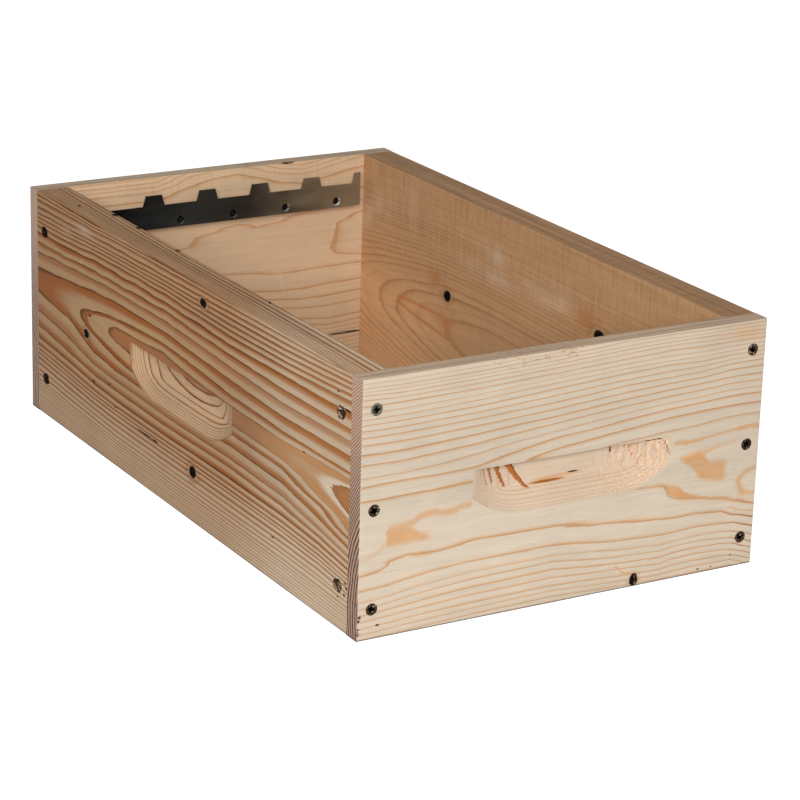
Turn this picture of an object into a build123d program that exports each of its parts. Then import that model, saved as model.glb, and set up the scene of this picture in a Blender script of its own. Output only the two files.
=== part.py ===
from build123d import *
import os

# A wooden beehive super: two end boards screwed onto the ends of two thicker side boards, a frame
# rest with a toothed steel spacer inside each end board, and the screws and nails that hold them.
# Millimetres. X runs across the front, Y from front to back, Z up from the bottom rim.

# Boards
length = 500.0  # outside, front to back
width = 300.0  # outside, across the front
height = 170.0
side_thickness = 25.0
end_thickness = 13.0
joint_gap = 0.15  # glue line between the end boards and the ends of the side boards
arris = 0.7  # radius of the eased edges

# Hand-holds, cut by a disc with a bevelled lower edge that runs along the board
hold_length = 150.0  # on the end boards; longer on the side boards, which the disc enters deeper
end_hold_depth = 8.5
side_hold_depth = 10.0
hold_rim = 19.0  # height of the upright back of the recess
hold_bevel = 15.0  # height of the slope below it
hold_blend = 4.0  # radius between the two
hold_drop = 70.0  # from the top rim to the upper edge of the recess
end_hold_shift = 5.0  # to the right of the board's middle, seen from outside
side_hold_shift = 1.2
hold_disc = 90.0  # radius of the disc

# Frame rests: a batten on each end board that carries the spacer and the ends of the frames
rest_depth = 12.0  # from the end board to the spacer
rest_drop = 24.0  # from the top rim to the batten's upper face

# Frame spacers: one strip on each frame rest, with a tooth to the right of each frame
sheet = 0.8
frame_pitch = 44.5
frame_shift = 5.3  # the row of frames sits this far to the right of the middle
ear_drop = 18.5  # from the top rim to the edge that the frame ears rest on
strip_depth = 18.0  # from that edge down to the strip's lower edge
strip_end_gap = 10.0  # from the strip's ends to the side boards
tooth_height = 8.0
tooth_foot = 17.6
tooth_tip = 13.2

# Nails through dished holes in the spacers
nail_rise = 5.0  # above the strip's lower edge
nail_shank = 1.6
nail_head = 3.8
nail_head_height = 0.8
nail_length = 16.0
nail_point = 2.5
dish_mouth = 6.4
dish_depth = 1.4
nail_play = 0.05  # between a nail and its hole, all round

# Countersunk cross-recess screws
screw_shank = 4.0
screw_head = 8.0
screw_rim = 0.4  # height of the head's upright edge
screw_point = 6.0
screw_play = 0.1  # between a screw and its hole, all round
cross_span = 4.6
cross_slot = 1.1
cross_depth = 1.7
cross_taper = 9.0  # slope of the recess walls, in degrees
screw_turn = 37.0  # each screw of a corner stops this many degrees on from the one before

# Screws through the end boards, into the ends of the side boards
end_screw_length = 50.0
end_screw_inset = 10.0  # from the side face
end_screw_edge = 20.0  # from the rims to the upper and lower screw
end_screw_sink = 0.3  # head below the wood

# Screws through the side boards, leaning towards the corner so that they end in the end boards
side_screw_length = 30.0
side_screw_inset = 26.0  # from the end face
side_screw_edge = 28.5
side_screw_lean = 40.0  # from square to the side face, in degrees
side_screw_sink = 3.8  # along the screw, so that all of the leaning head lies below the wood

# Sizes that follow
inner_width = width - 2 * side_thickness
inner_half_length = length / 2 - end_thickness
spacer_seat = inner_half_length - rest_depth
side_length = length - 2 * (end_thickness + joint_gap)
hold_top = height - hold_drop
hold_reach = (end_hold_depth * (2 * hold_disc - end_hold_depth)) ** 0.5  # from the disc's middle to its end
hold_run = hold_length - 2 * hold_reach  # how far the disc travels
ear_level = height - ear_drop
strip_low = ear_level - strip_depth
strip_length = inner_width - 2 * strip_end_gap
rest_height = height - rest_drop - strip_low
frame_count = int(inner_width // frame_pitch)
frame_places = [frame_shift + (i - (frame_count - 1) / 2) * frame_pitch for i in range(frame_count)]
dish_floor = spacer_seat - sheet + dish_depth
screw_bore = side_screw_sink + screw_head  # how far a screw's hole runs on above its head
end_screw_heights = {"top": height - end_screw_edge, "middle": height / 2, "bottom": end_screw_edge}
side_screw_heights = {"top": height - side_screw_edge, "bottom": side_screw_edge}


def block(size_x, size_y, size_z):
    """A box centred in X, standing on Z = 0, that runs from Y = 0 to the back."""
    return Box(size_x, size_y, size_z, align=(Align.CENTER, Align.MIN, Align.MIN))


def turned(*points):
    """A turned solid about Z from its half outline, given as radius and height."""
    return revolve(Plane.XZ * make_face(Polyline(*points, close=True)), Axis.Z)


def hold_cutter(depth, shift):
    """The space that the disc cuts in a board whose outer face is at Y = 0."""
    upright_low = hold_top - hold_rim
    low = upright_low - hold_bevel
    outline = Polyline(
        (0, low),
        (hold_disc - depth, low),
        (hold_disc, upright_low),
        (hold_disc, hold_top),
        (0, hold_top),
        close=True,
    )
    section = make_face(outline)
    crease = section.vertices().sort_by_distance((hold_disc, upright_low))[0]
    section = Plane.YZ * fillet(crease, hold_blend)
    disc = revolve(section, Axis.Z)
    run = extrude(section, hold_run / 2, both=True)
    cutter = run + [Pos(X=-hold_run / 2) * disc, Pos(X=hold_run / 2) * disc]
    return Pos(shift, depth - hold_disc) * cutter


def end_board():
    """An end board with its outer face at Y = 0, before any hole."""
    panel = block(width, end_thickness, height)
    cutter = hold_cutter(end_hold_depth, end_hold_shift)
    return fillet(panel.faces().sort_by(Axis.Y)[0].edges(), arris) - cutter


def side_board():
    """A side board with its outer face at Y = 0, before any hole."""
    panel = block(side_length, side_thickness, height)
    cutter = hold_cutter(side_hold_depth, side_hold_shift)
    return fillet(panel.edges().filter_by(Axis.X), arris) - cutter


def screw_outline(reach, play, above):
    """Half outline of a screw, head up with its top at Z = 0, or of its hole, wider by the play."""
    head_radius = screw_head / 2 + play
    shank_radius = screw_shank / 2 + play
    cone_low = -screw_rim - (screw_head - screw_shank) / 2
    return [
        (0, above),
        (head_radius, above),
        (head_radius, -screw_rim),
        (shank_radius, cone_low),
        (shank_radius, screw_point - reach),
        (0, -reach - play),
    ]


def screw(reach):
    """A countersunk screw with a cross recess, head up with its top at Z = 0."""
    cross = Rectangle(cross_span, cross_slot) + Rectangle(cross_slot, cross_span)
    recess = extrude(cross, -cross_depth, taper=cross_taper)
    return turned(*screw_outline(reach, 0, 0)) - recess


def screw_hole(reach):
    """The hole for a screw, open above its head."""
    return turned(*screw_outline(reach, screw_play, screw_bore))


def nail():
    """A flat-headed nail, head up, with the underside of its head at Z = 0."""
    head_radius = nail_head / 2
    shank_radius = nail_shank / 2
    return turned(
        (0, nail_head_height),
        (head_radius, nail_head_height),
        (head_radius, 0),
        (shank_radius, 0),
        (shank_radius, nail_point - nail_length),
        (0, -nail_length),
    )


def nail_hole():
    """The hole for a nail's shank, from the underside of its head."""
    radius = nail_shank / 2 + nail_play
    return turned((0, 0), (radius, 0), (radius, nail_point - nail_length), (0, -nail_length - nail_play))


def dish(play):
    """The dished seat of a nail, mouth up at Z = 0, wider and deeper by the play."""
    mouth_radius = dish_mouth / 2 + play
    floor_radius = nail_head / 2 + nail_play + play
    return turned((0, 0), (mouth_radius, 0), (floor_radius, -dish_depth - play), (0, -dish_depth - play))


def nail_places(y):
    """Where the back spacer's nails stand, at a depth Y, with Z out of the wood."""
    return [Plane((x, y, strip_low + nail_rise), z_dir=(0, -1, 0)).location for x in frame_places]


def back_rest():
    """The batten on the inner face of the back board, level with the strip's lower edge, before any hole."""
    return Pos(Y=spacer_seat, Z=strip_low) * block(strip_length, rest_depth, rest_height)


def back_spacer():
    """The toothed strip on the back frame rest."""
    foot = (Align.CENTER, Align.MIN)
    strip = Pos(Y=strip_low) * Rectangle(strip_length, strip_depth, align=foot)
    reach = Pos(Y=strip_low) * Rectangle(strip_length, strip_depth + tooth_height, align=foot)
    for x in frame_places:
        middle = x + frame_pitch / 2
        tooth = Polyline(
            (middle - tooth_foot / 2, ear_level),
            (middle + tooth_foot / 2, ear_level),
            (middle + tooth_tip / 2, ear_level + tooth_height),
            (middle - tooth_tip / 2, ear_level + tooth_height),
            close=True,
        )
        strip += make_face(tooth)
    spacer = extrude(Plane.XZ.offset(-spacer_seat) * (strip & reach), sheet)
    spacer += [place * dish(0) for place in nail_places(spacer_seat)]
    spacer -= [place * dish(0) for place in nail_places(spacer_seat - sheet)]
    return spacer - [place * nail_hole() for place in nail_places(dish_floor)]


def at_both_ends(shape):
    """A shape of the back end and its mirror image at the front."""
    return {"front": mirror(shape, Plane.XZ), "back": shape}


def at_both_sides(shape):
    """A shape of the right side and its mirror image on the left."""
    return {"left": mirror(shape, Plane.YZ), "right": shape}


def at_corners(shape):
    """A shape of the back right corner and its mirror images, by end and side."""
    halves = at_both_ends(shape)
    return {(end, side): twin for end in halves for side, twin in at_both_sides(halves[end]).items()}


# Where the screws of the back right corner stand, with Z out of the wood, and how long they are
corner_screws = {}
for level, z in end_screw_heights.items():
    head = (width / 2 - end_screw_inset, length / 2 - end_screw_sink, z)
    corner_screws["{end}_{side}_screw_" + level] = (Plane(head, z_dir=(0, 1, 0)), end_screw_length)
for level, z in side_screw_heights.items():
    head = (width / 2, length / 2 - side_screw_inset, z)
    out_of_wood = Vector(1, 0, 0).rotate(Axis.Z, -side_screw_lean)
    place = Plane(head, z_dir=out_of_wood).offset(-side_screw_sink)
    corner_screws["{side}_{end}_screw_" + level] = (place, side_screw_length)

nodes = {}
screw_holes = []
for number, (name, (place, reach)) in enumerate(corner_screws.items()):
    screw_holes += at_corners(place.location * screw_hole(reach)).values()
    shape = place.location * Rot(Z=number * screw_turn) * screw(reach)
    for (end, side), twin in at_corners(shape).items():
        nodes[name.format(end=end, side=side)] = twin
for number, place in enumerate(nail_places(dish_floor), 1):
    for end, shape in at_both_ends(place * nail()).items():
        nodes[f"{end}_spacer_nail_{number}"] = shape

# Frame rests and spacers
nail_holes = [place * nail_hole() for place in nail_places(dish_floor)]
seats = [place * dish(nail_play) for place in nail_places(spacer_seat)]
for end, shape in at_both_ends(back_rest() - nail_holes - seats).items():
    nodes[f"{end}_frame_rest"] = shape
for end, shape in at_both_ends(back_spacer()).items():
    nodes[f"{end}_frame_spacer"] = shape

# Boards, turned so that their outer faces look outwards, less every hole
front_board = Pos(Y=-length / 2) * end_board()
right_board = Rot(Z=90) * Pos(Y=-width / 2) * side_board()
half_turn = Rot(Z=180)
for end, blank in {"front": front_board, "back": half_turn * front_board}.items():
    nodes[f"{end}_wall"] = blank - screw_holes - [at_both_ends(hole)[end] for hole in nail_holes]
for side, blank in {"left": half_turn * right_board, "right": right_board}.items():
    nodes[f"{side}_wall"] = blank - screw_holes

os.makedirs("parts", exist_ok=True)
for name, shape in nodes.items():
    shape.label = name
    export_step(shape, f"parts/{name}.step")
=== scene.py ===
import math
import random
from functools import partialmethod

import bmesh
import bpy
from mathutils import Euler, Matrix, Vector


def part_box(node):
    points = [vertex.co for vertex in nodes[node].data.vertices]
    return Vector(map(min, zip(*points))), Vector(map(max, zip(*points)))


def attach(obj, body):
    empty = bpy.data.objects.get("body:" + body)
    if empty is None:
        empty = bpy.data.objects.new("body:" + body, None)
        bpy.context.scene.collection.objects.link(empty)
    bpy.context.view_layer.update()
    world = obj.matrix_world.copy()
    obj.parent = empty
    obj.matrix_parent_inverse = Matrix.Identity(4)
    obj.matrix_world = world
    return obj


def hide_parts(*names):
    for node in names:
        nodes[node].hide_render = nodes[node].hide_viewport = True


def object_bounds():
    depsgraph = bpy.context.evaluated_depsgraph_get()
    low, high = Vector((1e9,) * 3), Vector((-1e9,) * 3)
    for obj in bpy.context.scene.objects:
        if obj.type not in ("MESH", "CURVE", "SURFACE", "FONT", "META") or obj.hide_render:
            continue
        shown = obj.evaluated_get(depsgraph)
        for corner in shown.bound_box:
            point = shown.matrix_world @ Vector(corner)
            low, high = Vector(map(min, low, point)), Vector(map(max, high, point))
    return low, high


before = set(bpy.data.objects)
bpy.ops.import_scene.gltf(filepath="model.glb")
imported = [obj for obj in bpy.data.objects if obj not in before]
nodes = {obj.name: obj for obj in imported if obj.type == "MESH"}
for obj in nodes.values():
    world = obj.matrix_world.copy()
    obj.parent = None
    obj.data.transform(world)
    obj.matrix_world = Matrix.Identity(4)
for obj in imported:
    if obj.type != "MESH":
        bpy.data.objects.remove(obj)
cad_box = [list(corner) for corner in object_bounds()]
scene = bpy.context.scene
MM = 0.001


def millimetres(corner):
    return [round(value / MM, 3) for value in corner]


# Faces of the box, inner faces that show and places of the side screws, in millimetres
LEFT, FRONT, _ = millimetres(cad_box[0])
RIGHT, BACK, TOP = millimetres(cad_box[1])
RIGHT_INSIDE = millimetres(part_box("right_wall")[0])[0]
BACK_INSIDE = millimetres(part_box("back_wall")[0])[1]
SCREW_INSET = 26
LOW_SCREW = 28.5
HIGH_SCREW = TOP - LOW_SCREW
NEAR_SCREW, FAR_SCREW = FRONT + SCREW_INSET, BACK - SCREW_INSET


# Shader arithmetic: numbers that build Math nodes as they are worked out

class Num:
    """A number in a material, with a node behind it."""

    def __init__(self, sh, socket):
        self.sh, self.socket = sh, socket

    def __add__(self, other):
        return self.sh.math("ADD", self, other)

    def __sub__(self, other):
        return self.sh.math("SUBTRACT", self, other)

    def __rsub__(self, other):
        return self.sh.math("SUBTRACT", other, self)

    def __mul__(self, other):
        return self.sh.math("MULTIPLY", self, other)

    def __truediv__(self, other):
        return self.sh.math("DIVIDE", self, other)


class Shader:
    """A material, or the world, and the helpers that fill its node tree."""

    def __init__(self, name, kind=bpy.data.materials):
        self.data = kind.new(name)
        self.data.use_nodes = True
        self.tree = self.data.node_tree
        self.bsdf = self.tree.nodes.get("Principled BSDF")

    def node(self, kind, **settings):
        made = self.tree.nodes.new("ShaderNode" + kind)
        for key, value in settings.items():
            setattr(made, key, value)
        return made

    def put(self, value, socket):
        """Feeds a socket from a Num, another socket or a plain value."""
        if isinstance(value, Num):
            value = value.socket
        if isinstance(value, bpy.types.NodeSocket):
            self.tree.links.new(value, socket)
        else:
            socket.default_value = value

    def math(self, operation, *values, clamp=False):
        made = self.node("Math", operation=operation, use_clamp=clamp)
        for value, socket in zip(values, made.inputs):
            self.put(value, socket)
        return Num(self, made.outputs[0])

    sqrt = partialmethod(math, "SQRT")
    exp = partialmethod(math, "EXPONENT")
    abs = partialmethod(math, "ABSOLUTE")
    floor = partialmethod(math, "FLOOR")
    max = partialmethod(math, "MAXIMUM")
    min = partialmethod(math, "MINIMUM")

    def length(self, a, b):
        """Length of two parts at right angles."""
        return self.sqrt(a * a + b * b)

    def mapped(self, low, high, value, **settings):
        made = self.node("MapRange", clamp=True, **settings)
        for key, item in (("Value", value), ("From Min", low), ("From Max", high)):
            self.put(item, made.inputs[key])
        return Num(self, made.outputs["Result"])

    def ramp(self, low, high, value):
        """0 below low, 1 above high, straight between."""
        return self.mapped(low, high, value)

    def step(self, low, high, value):
        """0 below low, 1 above high, smooth between."""
        return self.mapped(low, high, value, interpolation_type="SMOOTHSTEP")

    def bell(self, value):
        """1 at 0, falling to 0 both ways."""
        return self.exp(value * value * -1)

    def hump(self, along, up, place, spread):
        """A smooth hump of height 1."""
        a, b = (along - place[0]) / spread[0], (up - place[1]) / spread[1]
        return self.exp(a * a * -1 - b * b)

    def highest(self, values):
        top, *rest = values
        for value in rest:
            top = self.max(top, value)
        return top

    def curve(self, value, points, smooth=False):
        """A line through points, flat beyond its ends."""
        x0, x1 = points[0][0], points[-1][0]
        y0, y1 = min(y for x, y in points), max(y for x, y in points)
        made = self.node("FloatCurve")
        line = made.mapping.curves[0]
        spread = [((x - x0) / (x1 - x0), (y - y0) / (y1 - y0)) for x, y in points]
        line.points[0].location, line.points[1].location = spread[0], spread[-1]
        for place in spread[1:-1]:
            line.points.new(*place)
        for point in line.points:
            point.handle_type = "AUTO_CLAMPED" if smooth else "VECTOR"
        made.mapping.update()
        self.put(self.math("DIVIDE", value - x0, x1 - x0, clamp=True), made.inputs["Value"])
        return Num(self, made.outputs["Value"]) * (y1 - y0) + y0

    def band(self, x, z, points, soft, ends):
        """A streak along X, from places, middle heights and half widths: 1 inside, 0 outside."""
        middle = self.curve(x, [(place, height) for place, height, half in points], True)
        width = self.curve(x, [(place, half) for place, height, half in points], True)
        body = self.step(soft, -soft, self.abs(z - middle) - width)
        first, last = points[0][0], points[-1][0]
        return body * self.step(first, first + ends[0], x) * self.step(last, last - ends[1], x)

    def vector(self, x, y, z):
        made = self.node("CombineXYZ")
        for value, socket in zip((x, y, z), made.inputs):
            self.put(value, socket)
        return made.outputs[0]

    def vmath(self, operation, *values, out=0):
        made = self.node("VectorMath", operation=operation)
        for value, socket in zip(values, made.inputs):
            self.put(value, socket)
        return made.outputs[out]

    def split(self, vector):
        made = self.node("SeparateXYZ")
        self.put(vector, made.inputs[0])
        return [Num(self, socket) for socket in made.outputs]

    def noise(self, place, detail=2.0, roughness=0.5, scale=1.0):
        """Even noise about 0, mostly within -0.5 to 0.5."""
        made = self.node("TexNoise", noise_dimensions="3D")
        made.inputs["Scale"].default_value = scale
        made.inputs["Detail"].default_value = detail
        made.inputs["Roughness"].default_value = roughness
        self.put(place, made.inputs["Vector"])
        return Num(self, made.outputs["Fac"]) - 0.5

    def chance(self, value):
        """A number from 0 to 1 that is fixed for each whole number."""
        made = self.node("TexWhiteNoise", noise_dimensions="1D")
        self.put(value, made.inputs["W"])
        return Num(self, made.outputs["Value"])

    def position(self):
        """The place in millimetres, in the part's frame, as a vector and its three numbers."""
        place = self.vmath("SCALE", self.node("TexCoord").outputs["Object"])
        place.node.inputs["Scale"].default_value = 1 / MM
        return place, self.split(place)

    def facing(self):
        """The surface's normal in the part's frame."""
        return self.split(self.node("NewGeometry").outputs["True Normal"])

    def nearest(self, place, spots):
        """Distance to the nearest spot, 1 at its rim."""
        closest = None
        for centre, reach in spots:
            shift = [-c / r for c, r in zip(centre, reach)]
            offset = self.vmath("MULTIPLY_ADD", place, [1 / r for r in reach], shift)
            distance = Num(self, self.vmath("LENGTH", offset, out=1))
            closest = distance if closest is None else self.min(closest, distance)
        return closest

    def looked_at(self):
        """1 where the camera, a reflection or clear material looks, 0 for the light on the object."""
        rays = self.node("LightPath").outputs
        kinds = ("Is Camera Ray", "Is Glossy Ray", "Is Transmission Ray")
        return self.highest(Num(self, rays[kind]) for kind in kinds)

    def mix(self, share, a, b, blend="MIX"):
        made = self.node("Mix", data_type="RGBA", blend_type=blend, clamp_factor=True)
        for value, key in ((share, 0), (a, 6), (b, 7)):
            self.put(value, made.inputs[key])
        return made.outputs[2]

    def tinted(self, colour, tint):
        return self.mix(1.0, colour, tint, "MULTIPLY")

    def shade(self, colour, tone):
        """A colour made lighter or darker."""
        return self.tinted(colour, self.vector(tone, tone, tone))

    def bump(self, height, distance, strength=1.0):
        made = self.node("Bump")
        made.inputs["Strength"].default_value = strength
        made.inputs["Distance"].default_value = distance
        self.put(height, made.inputs["Height"])
        self.put(made.outputs["Normal"], self.bsdf.inputs["Normal"])


def srgb(red, green, blue):
    """A colour from its 0 to 255 screen values."""
    def linear(value):
        value /= 255
        return value / 12.92 if value <= 0.04045 else ((value + 0.055) / 1.055) ** 2.4
    return (linear(red), linear(green), linear(blue), 1.0)


KNOT_BLACK = srgb(17, 14, 13)
KNOT_HALO = srgb(140, 78, 36)
KNOT_PALE = srgb(204, 168, 130)
PIT_BROWN = srgb(34, 22, 15)
LATE_ORANGE = srgb(212, 158, 104)
LATE_DEEP = srgb(184, 110, 54)
LATE_SHADE = srgb(104, 54, 26)
LATE_FLARE = srgb(186, 112, 52)
CORNER_BROWN = srgb(150, 104, 68)
TORN_ORANGE_AND_SHADE = srgb(224, 172, 126)
TORN_PALE_AND_HIGHLIGHT = srgb(246, 226, 204)
TORN_BROWN = srgb(134, 90, 58)
FLECK_BROWN = srgb(190, 138, 84)
EYE_PALE = srgb(232, 212, 188)
PATCH_PALE = srgb(212, 182, 152)
SMUDGE_GREY = srgb(206, 186, 166)
# Painted contact shadow along the bottom edges
CONTACT_SHADOW = srgb(66, 52, 44)
END_PALE, END_DARK = srgb(216, 180, 156), srgb(64, 28, 16)
SCREW_HOLLOW_SHADE = srgb(14, 12, 11)
SCREW_PAINTED_GLINT = srgb(190, 182, 160)
SCREW_OLIVE = srgb(104, 104, 88)
# Colours of the spacer's painted reflection, from its left end to its right
STEEL_BLACK = (0.007, 0.008, 0.009, 1)
STEEL_MIDDLE = (0.058, 0.066, 0.066, 1)
STEEL_RIGHT = (0.43, 0.46, 0.42, 1)


# Ring lines: place along the board, heart's height and ring, first line's ring, heights above and below
LEFT_LINES = [
    (-237, 88, 0.7, 1, (97, 103, 107, 117.5, 127, 135, 145.5, 153, 157, 161, 164.5, 168),
     (79, 67, 63, 56.5, 51, 47, 42.5, 38.5, 36, 33.5, 30.5, 26, 23.5, 21, 17.5)),
    (-200, 90, 1.15, 2, (102, 106.5, 117, 126, 134.5, 144, 151, 155, 159, 163, 166.5),
     (77, 72, 63, 56, 51, 46, 42, 39, 36, 33, 29, 25, 22.5, 18)),
    (-150, 93, 1.65, 2, (100, 106, 116, 125, 134, 143.5, 149, 153, 157, 161, 165, 169),
     (86, 80, 70.5, 62, 55, 48.5, 44, 40.5, 38, 34, 30, 26, 23, 19)),
    (-75, 94, 1.6, 2, (101, 108, 118, 127, 135, 142, 148, 152, 156, 160, 164, 168),
     (87.5, 81, 72, 63, 57, 49, 44.5, 41, 38.5, 34, 30, 25.5, 22.5, 19)),
    (25, 95, 1.5, 2, (108, 114, 123, 131, 138, 144.5, 150, 153, 156, 159, 162.5, 167.5),
     (82, 76, 70, 62.5, 55.5, 48, 44, 41, 37.5, 34, 29.5, 25.5, 22, 18.5)),
    (100, 98, 1.7, 2, (104, 110, 122, 130, 136, 144, 149, 152, 155, 157.5, 161.5, 166),
     (92.5, 80, 71, 63.5, 56, 48.5, 44, 41, 38, 34, 30, 25.5, 22, 19)),
    (138, 96.5, 2.45, 3, (105, 120, 129, 135.5, 143, 148, 151, 154, 156.5, 160.5, 165),
     (87, 74, 65, 57, 50, 45, 42, 39, 35, 31, 27, 23.5, 20)),
    (180, 99, 3.35, 4, (116.5, 127, 133, 141, 145.5, 149, 152, 155, 159.5, 165),
     (87, 72, 61, 53.5, 48, 44.5, 41.5, 38, 33, 29, 25, 21)),
    (237, 103, 3.8, 4, (113, 124.5, 132, 139.5, 144, 147.5, 150.5, 154, 158.5, 164, 168),
     (93, 77.5, 66.5, 57, 51.5, 48, 45, 41, 36.5, 31.5, 28, 24)),
]
FRONT_LINES = [
    (-151, 73, 2.3, 3,
     (92.5, 101.5, 107, 116, 122.5, 128.5, 133, 137.5, 141, 144.5, 148.5, 153, 157, 160, 162, 164.5, 167.5),
     (42, 32.5, 25, 20.5, 16, 12, 7.5, 3.5)),
    (-135, 74, 2.3, 3,
     (92, 102, 107, 115.5, 122, 128, 133, 137, 141, 144.5, 148.5, 153, 156.5, 159.5, 161.8, 164.2, 167.2),
     (44.3, 33, 25.3, 21.5, 17, 13, 8.2, 4.2)),
    (-127, 75, 2.3, 3,
     (92, 102.3, 107, 115, 122, 128, 133, 137, 141, 144.5, 148.5, 153, 156, 159, 161.5, 164, 167),
     (49.6, 33.8, 26.2, 22.2, 17.6, 13.4, 8.6, 4.6, 0.6)),
    (-116, 75, 2.3, 3,
     (92.3, 102.3, 107.2, 115.3, 122, 128, 133, 137, 141, 144.5, 148.6, 153, 156, 159, 161.5, 164, 167),
     (51.3, 35.4, 27.9, 23.4, 18.4, 14.2, 9.3, 5.2, 1)),
    (-95, 73, 2.27, 3,
     (92.4, 102, 108.5, 116.5, 123, 128.7, 133.5, 137.5, 141.5, 145.2, 149, 153.3, 156.5, 159.5, 161.7, 164.2,
      167.2),
     (50.1, 37.8, 29.8, 25.2, 20, 15.3, 10.2, 6.1, 2)),
    (-68, 72, 2.25, 3,
     (93.4, 102.8, 111, 118, 124, 129.5, 134, 138, 142, 146, 149.5, 153.5, 157, 160, 162, 164.5, 167.5),
     (53.2, 39, 31.6, 27, 21.5, 16.5, 11, 7, 3)),
    (-8, 72, 2.2, 3,
     (105.5, 113, 117, 122.5, 127, 132, 136.5, 141, 145.5, 149, 152, 155.5, 159, 161.5, 164, 166.5, 169),
     (52, 39, 32, 28, 22.5, 17, 11.5, 8, 4)),
    (40, 85, 1.8, 2,
     (102, 110, 116.5, 121, 126, 130.5, 135, 139.5, 143.5, 148, 151, 154, 157.5, 161, 163.5, 166, 169),
     (69, 46.5, 33.5, 27, 22.5, 18, 14, 9, 5.5, 2)),
    (75, 80, 1.25, 2,
     (104, 113, 119, 123, 127.5, 132, 136.5, 140.5, 145, 149, 151.5, 155, 158.5, 162, 164, 166.5, 169),
     (66, 43, 31.7, 24.7, 20.8, 16.2, 12, 7.8, 4.2, 1)),
    (86, 79, 1.22, 2,
     (104.4, 113.4, 119.4, 123.4, 128, 132.4, 136.8, 140.8, 144.8, 148.6, 151.3, 154.6, 158.3, 161.6, 164,
      166.3, 168.8),
     (55.5, 42, 31.8, 25.5, 22.2, 17.6, 13.3, 8.9, 4.8, 1)),
    (102, 78, 1.2, 2,
     (105, 114, 120, 124, 128.5, 133, 137, 141, 144.5, 148, 151, 154, 158, 161, 164, 166, 168.5),
     (53.2, 42.2, 32.8, 26.4, 22.8, 18.3, 14, 9.3, 5, 1)),
    (123, 76, 1.2, 2,
     (106.8, 114.4, 121, 125, 129.5, 134, 139, 143, 146, 149, 152, 155, 158, 161, 163.5, 166, 168.5),
     (49.7, 40.3, 31.7, 26, 21.3, 17.6, 13, 9, 5, 1)),
    (133, 76, 1.2, 2,
     (106.9, 114.4, 121, 125, 129.5, 134, 139, 143, 146, 149, 152, 155, 158, 161, 163.5, 166, 168.5),
     (46.8, 36.3, 30.9, 24.7, 20, 16.7, 11.8, 8.2, 4.9, 1)),
    (151, 76, 1.2, 2,
     (106.3, 114, 120.5, 124.5, 129, 133.5, 139, 143, 146, 149, 152, 155, 158, 160.5, 163, 166, 168.5),
     (41.8, 31.5, 25.4, 19, 14, 10.8, 5.8, 2.4, -1, -4)),
]
# Read in the plane of the spacer, so moved to where they lie on the board
BACK_READ = [
    (-60, 102, 1.3, 2, (113, 140, 157, 164), (92, 78, 66.5, 58.5, 49, 43)),
    (-35, 104, 1.3, 2, (117, 143, 164, 172), (92, 77, 66.5, 58.5, 49, 43)),
    (-12, 107, 1.3, 2, (126.3, 144, 169, 176), (91.5, 76, 66.5, 58.5, 49, 43)),
    (8, 109, 1.3, 2, (130.4, 145, 170, 177), (90.4, 75.3, 66.5, 58.5, 49, 43)),
    (25, 107, 1.3, 2, (126.3, 143, 166, 173), (88.8, 74, 66.5, 58.5, 49, 43)),
    (45, 106, 1.3, 2, (128.5, 143, 160, 167.5), (86, 72, 65, 58.3, 49, 43)),
    (65, 106, 1.3, 2, (133.5, 144, 157.5, 165), (86.5, 71.7, 63.2, 56, 46.8, 41.5)),
    (88, 102, 1.02, 2, (136, 147, 161, 169), (87.5, 73.2, 63.6, 55.3, 44.2, 39.2)),
    (103, 107, 0.7, 1, (124.5, 137.5, 148, 164, 172), (95.5, 87.8, 73.6, 64.2, 56, 45, 40)),
    (117, 111, 0.5, 1, (130, 139, 149, 166, 174), (94, 88, 74, 65, 57, 46, 41)),
]
BACK_SHIFT, BACK_DROP = 7.1, 4.7
BACK_LINES = [
    (place + BACK_SHIFT, heart - BACK_DROP, ring, first,
     *([height - BACK_DROP for height in lines] for lines in heights))
    for place, heart, ring, first, *heights in BACK_READ]
# Rings go on evenly past the lines read, until this far from mid-height
LINES_REACH = 90


def line_points(heart, ring, first, upper, lower, thin):
    """Heights and ring numbers at one place; thin, if given, is the late part's height in wide rings."""
    points = [(heart, ring)]
    for lines, way in ((upper, 1), (lower, -1)):
        gap, rise = lines[0] - heart, first - ring
        if not thin:
            points += [(heart + gap * share, ring + rise * share ** 2) for share in (0.4, 0.7)]
        last, number = heart, first - 1
        for height in lines:
            if thin and abs(height - last) > 2 * thin:
                points.append((height - way * thin, number + 0.55))
            last, number = height, number + 1
            points.append((last, number))
        while abs(last - TOP / 2) < LINES_REACH:
            last, number = last + way * (3.4 if thin else 2.3), number + 1
            points.append((last, number))
    return sorted(points)


def line_rings(sh, along, up, columns, thin=0):
    """Ring number on a board's face, from its ring lines."""
    rings, before, place_before = None, None, None
    for place, *lines in columns:
        here = sh.curve(up, line_points(*lines, thin))
        if rings is None:
            rings = here
        else:
            rings = rings + (here - before) * sh.ramp(place_before, place, along)
        before, place_before = here, place
    return rings


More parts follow.
